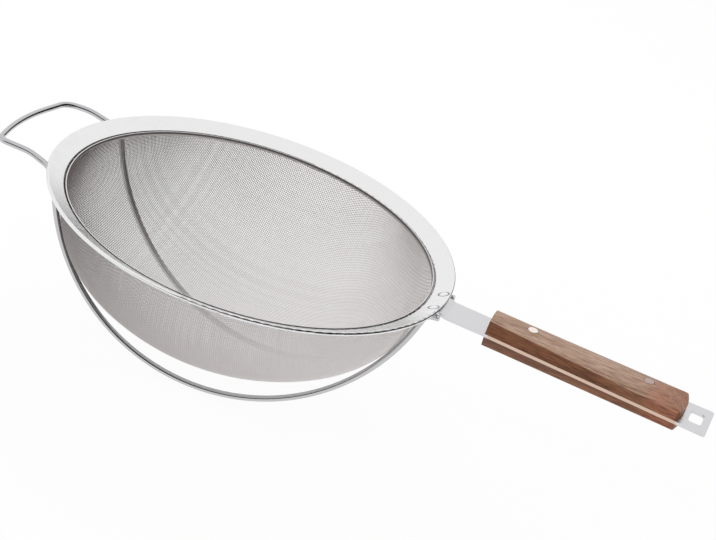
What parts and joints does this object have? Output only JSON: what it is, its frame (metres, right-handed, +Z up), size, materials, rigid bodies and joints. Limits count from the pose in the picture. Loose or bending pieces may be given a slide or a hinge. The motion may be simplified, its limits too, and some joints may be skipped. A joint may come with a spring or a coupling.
{
  "type": "wire-cloth bowl strainer",
  "caption": "Round wire-cloth bowl strainer with a dished steel rim, bent wire guards, a wire pan hook and a flat riveted wooden handle.",
  "frame": {"origin": "middle of the footprint in X and Y, at the height of the guard wires' lowest point", "axes": "+X from the bowl towards the end of the handle, +Z up through the open mouth of the bowl, rim plane level"},
  "size_m": [0.4643, 0.26, 0.1116],
  "materials": {
    "polished_steel": "bright polished",
    "wire_cloth": "woven bright wire",
    "drawn_wire": "drawn, bright",
    "tang_steel": "satin",
    "walnut": "oiled",
    "rivet_metal": "satin"
  },
  "bodies": {
    "root": {"rim_band": "polished_steel", "cloth_bowl": "wire_cloth", "cloth_clamp_ring": "polished_steel", "cradle_wire": "drawn_wire", "handle_tang": "tang_steel", "rim_rivets": "polished_steel", "upper_scale": "walnut", "lower_scale": "walnut", "handle_rivets": "rivet_metal"}
  },
  "joints": []
}
